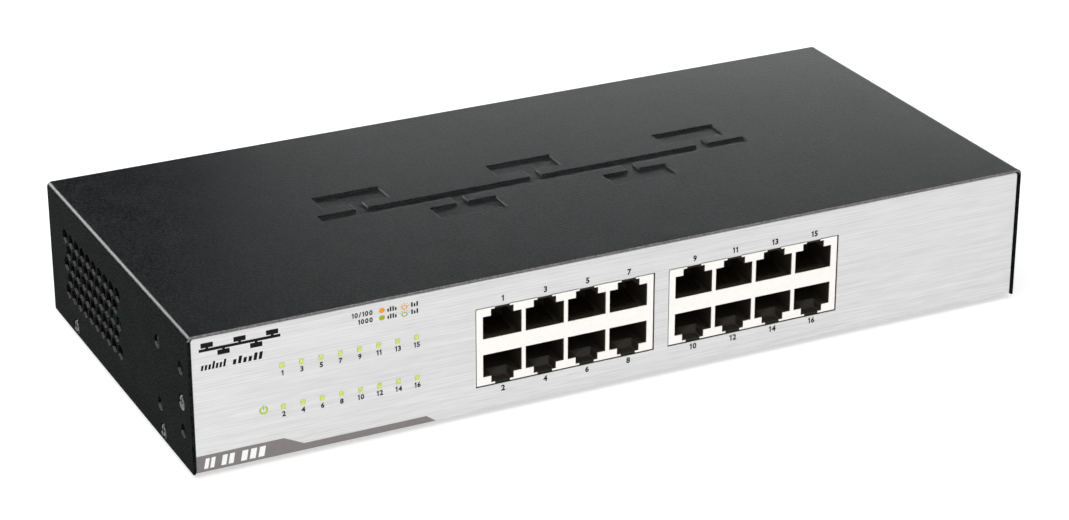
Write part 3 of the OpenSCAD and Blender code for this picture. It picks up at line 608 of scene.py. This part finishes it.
def print_label():
    """Empty frame and empty fields on the rating label under the case."""
    low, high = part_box("rating_label")
    middle = (low + high) / 2
    ink = Print((middle.x, middle.y, low.z), (-1, 0, 0), (0, 1, 0))
    w, h = (high.x - low.x) / MM - 2 * LABEL_EDGE, (high.y - low.y) / MM - 2 * LABEL_EDGE
    inner = h / 2 - 1.1 * LABEL_LINE
    for side in (-1, 1):
        x, y = side * w / 2, side * h / 2
        ink.box(-w / 2, min(y, y - side * LABEL_LINE), w / 2, max(y, y - side * LABEL_LINE))
        ink.box(min(x, x - side * LABEL_LINE), -inner, max(x, x - side * LABEL_LINE), inner)
    for k, length in enumerate(FIELD_LENGTHS):
        x, y = -w / 2 + FIELD_START, -h / 2 + FIELD_PITCH
        ink.box(x, y + FIELD_PITCH * k, x + length, y + FIELD_LINE + FIELD_PITCH * k)
    ink.layer("print_label", INK_BLACK, "label_grey")


# ---------------------------------------------------------------- stage


# Camera: where it stands, the way it looks in degrees, and its lens in millimetres
CAMERA_AT = (-0.3898, -0.7900, 0.4099)
CAMERA_TURN = 26.22
CAMERA_TILT = 24.10
CAMERA_LENS = 102.0
SENSOR_WIDTH = 36
FLOOR_REACH = 6.0
# Each light: its place, the point it looks at, its size and its power in watts
LIGHTS = {
    "overhead": ((-0.1, -0.3, 1.5), (0, 0, 0), (2.4, 2.0), 36),
    "front": ((-0.6, -1.8, 0.9), (0, 0, 0), (1.6, 1.2), 13),
    "back_right": ((0.42, 0.57, 0.10), (0.05, 0, 0.02), (0.6, 0.14), 1.85),
    "back_left": ((-0.52, 1.0, 0.52), (-0.1, 0, 0.04), (0.5, 0.5), 13),
}


def make_floor():
    """White floor under the feet, which glows a little so that shadows stay faint."""
    mesh = bpy.data.meshes.new("floor")
    corners = [(x * FLOOR_REACH, y * FLOOR_REACH, 0) for x, y in ((-1, -1), (1, -1), (1, 1), (-1, 1))]
    mesh.from_pydata(corners, [], [(0, 1, 2, 3)])
    floor = bpy.data.objects.new("floor", mesh)
    bpy.context.scene.collection.objects.link(floor)
    paper = Look("paper").fix(Base_Color=(0.45, 0.45, 0.45, 1), Roughness=0.9, Specular_IOR_Level=0.1,
                              Emission_Color=(1, 1, 1, 1), Emission_Strength=0.6)
    mesh.materials.append(paper.material)


def make_room():
    """A dim surrounding for reflections."""
    world = bpy.data.worlds.new("room")
    bpy.context.scene.world = world
    world.use_nodes = True
    background = world.node_tree.nodes["Background"]
    background.inputs["Color"].default_value = (0.9, 0.95, 1.0, 1)
    background.inputs["Strength"].default_value = 0.04


def area_light(name, at, towards, size, watts):
    data = bpy.data.lights.new(name, "AREA")
    data.shape = "RECTANGLE"
    data.size, data.size_y = size
    data.energy = watts
    light = bpy.data.objects.new(name, data)
    light.location = at
    light.visible_camera = False
    light.rotation_euler = (Vector(towards) - Vector(at)).to_track_quat("-Z", "Y").to_euler()
    bpy.context.scene.collection.objects.link(light)


def make_camera():
    data = bpy.data.cameras.new("camera")
    data.lens = CAMERA_LENS
    data.sensor_width = SENSOR_WIDTH
    camera = bpy.data.objects.new("camera", data)
    camera.location = CAMERA_AT
    camera.rotation_euler = (math.radians(90 - CAMERA_TILT), 0, -math.radians(CAMERA_TURN))
    bpy.context.scene.collection.objects.link(camera)
    bpy.context.scene.camera = camera
    bpy.context.scene.view_settings.view_transform = "Standard"


# ---------------------------------------------------------------- build


make_floor()
make_room()
for light_name, settings in LIGHTS.items():
    area_light(light_name, *settings)
make_camera()
for node, solid in NODES.items():
    solid.data.materials.clear()
    solid.data.materials.append(LOOKS[SLOT_OF[node]])
for node, width in EDGE_WIDTHS.items():
    soft_edged(node, width)
print_numbers()
print_legend()
print_mark()
print_band()
print_label()
